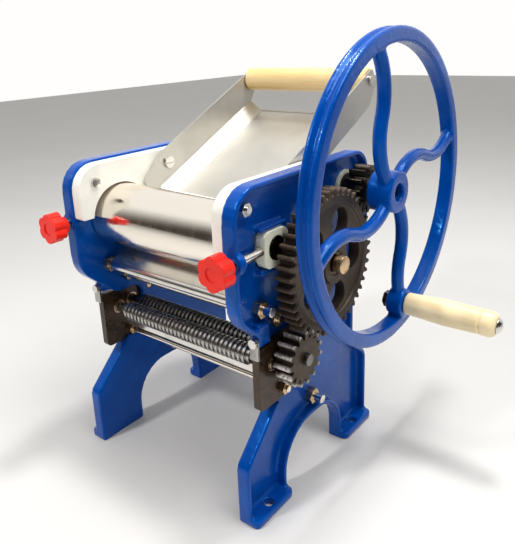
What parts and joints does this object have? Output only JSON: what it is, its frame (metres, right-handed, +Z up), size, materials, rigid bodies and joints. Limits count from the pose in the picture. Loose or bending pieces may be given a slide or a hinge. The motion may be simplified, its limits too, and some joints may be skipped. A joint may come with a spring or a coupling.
{
  "type": "manual noodle cutter",
  "caption": "Hand-cranked noodle cutter: dough rollers with an adjustable gap and ringed cutters in a blue frame, geared to a spoked hand wheel, with a sloped feed tray.",
  "frame": {"origin": "on the floor, in the middle of the four foot holes", "axes": "+X towards the crank and gears, +Y towards the feed tray, +Z up"},
  "size_m": [0.3547, 0.325, 0.3953],
  "materials": {
    "blue_paint": "gloss",
    "cream_plastic": "satin",
    "nylon": "satin",
    "red_plastic": "gloss",
    "chrome": "polished",
    "yellow_zinc": "satin",
    "cast_iron": "cast",
    "dark_steel": "oiled",
    "bright_steel": "bright",
    "wood": "smooth",
    "tray_sheet": "satin"
  },
  "bodies": {
    "frame": {"left_frame": "blue_paint", "right_frame": "blue_paint", "left_guard": "cream_plastic", "right_guard": "cream_plastic", "guard_screws": "bright_steel", "guard_nuts": "bright_steel", "front_tie_rod": "chrome", "base_tie_rod": "chrome", "rear_tie_rod": "chrome", "scraper_rod": "chrome", "tie_rod_nuts": "yellow_zinc", "front_scraper": "bright_steel", "rear_scraper": "bright_steel", "roller_bushes": "nylon", "shaft_bushes": "nylon", "left_cutter_plate": "dark_steel", "right_cutter_plate": "dark_steel", "cutter_bolts": "yellow_zinc", "cutter_bushes": "yellow_zinc", "cutter_tie_rod": "chrome", "cutter_tie_nuts": "yellow_zinc", "noodle_comb": "bright_steel", "latch_screws": "bright_steel", "dough_tray": "tray_sheet", "tray_screws": "bright_steel"},
    "bearing_carriage": {"left_bearing_block": "nylon", "right_bearing_block": "nylon"},
    "front_roller": {"front_roller": "chrome", "front_roller_gear": "cast_iron"},
    "left_knob": {"left_knob": "red_plastic", "left_screw": "chrome"},
    "right_knob": {"right_knob": "red_plastic", "right_screw": "chrome"},
    "rear_roller": {"rear_roller": "chrome", "drive_gear": "cast_iron", "drive_key": "bright_steel", "gear_nut": "yellow_zinc", "rear_roller_gear": "cast_iron"},
    "hand_wheel": {"hand_wheel": "blue_paint", "wheel_shaft": "dark_steel", "drive_pinion": "dark_steel", "pinion_key": "bright_steel", "wheel_key": "bright_steel", "shaft_collar": "dark_steel", "handle_bolt": "bright_steel", "handle_nut": "dark_steel"},
    "handle_grip": {"handle_grip": "wood"},
    "rear_cutter": {"rear_cutter": "bright_steel", "cutter_gear": "cast_iron", "rear_link_gear": "dark_steel"},
    "front_cutter": {"front_cutter": "bright_steel", "front_link_gear": "dark_steel"},
    "dough_bar": {"dough_bar": "wood", "bar_screws": "bright_steel"},
    "left_latch": {"left_latch": "bright_steel"},
    "right_latch": {"right_latch": "bright_steel"}
  },
  "joints": [
    {"name": "wheel_turn", "type": "hinge", "parent": "frame", "child": "hand_wheel", "pos_m": [0, 0.06603, 0.25732], "axis": [1, 0, 0], "continuous": true},
    {"name": "rear_roller_turn", "type": "hinge", "parent": "frame", "child": "rear_roller", "pos_m": [0, 0.0044, 0.2067], "axis": [1, 0, 0], "continuous": true},
    {"name": "gap_slide", "type": "slide", "parent": "frame", "child": "bearing_carriage", "axis": [0, -1, 0], "range_m": [0, 0.003]},
    {"name": "front_roller_turn", "type": "hinge", "parent": "bearing_carriage", "child": "front_roller", "pos_m": [0, -0.05016, 0.23331], "axis": [1, 0, 0], "continuous": true},
    {"name": "left_knob_turn", "type": "hinge", "parent": "bearing_carriage", "child": "left_knob", "pos_m": [-0.0985, -0.11016, 0.23331], "axis": [0, -1, 0], "range_deg": [0, 864]},
    {"name": "right_knob_turn", "type": "hinge", "parent": "bearing_carriage", "child": "right_knob", "pos_m": [0.0985, -0.11016, 0.23331], "axis": [0, -1, 0], "range_deg": [0, 864]},
    {"name": "grip_turn", "type": "hinge", "parent": "hand_wheel", "child": "handle_grip", "pos_m": [0, 0.0868, 0.14523], "axis": [1, 0, 0], "continuous": true},
    {"name": "rear_cutter_turn", "type": "hinge", "parent": "frame", "child": "rear_cutter", "pos_m": [0, -0.04029, 0.13735], "axis": [1, 0, 0], "continuous": true},
    {"name": "front_cutter_turn", "type": "hinge", "parent": "frame", "child": "front_cutter", "pos_m": [0, -0.05688, 0.13473], "axis": [1, 0, 0], "continuous": true},
    {"name": "bar_turn", "type": "hinge", "parent": "frame", "child": "dough_bar", "pos_m": [0, 0.1468, 0.34496], "axis": [1, 0, 0], "continuous": true},
    {"name": "left_latch_turn", "type": "hinge", "parent": "frame", "child": "left_latch", "pos_m": [-0.0985, -0.07728, 0.16115], "axis": [0, 1, 0], "range_deg": [0, 90]},
    {"name": "right_latch_turn", "type": "hinge", "parent": "frame", "child": "right_latch", "pos_m": [0.0985, -0.07728, 0.16115], "axis": [0, -1, 0], "range_deg": [0, 90]}
  ],
  "couplings": [
    {"joint": "rear_roller_turn", "follows": "wheel_turn", "ratio": -0.28889},
    {"joint": "front_roller_turn", "follows": "wheel_turn", "ratio": 0.28889},
    {"joint": "rear_cutter_turn", "follows": "wheel_turn", "ratio": 0.86667},
    {"joint": "front_cutter_turn", "follows": "wheel_turn", "ratio": -0.86667},
    {"joint": "left_knob_turn", "follows": "gap_slide", "rad_per_m": 5026.5},
    {"joint": "right_knob_turn", "follows": "gap_slide", "rad_per_m": 5026.5}
  ]
}
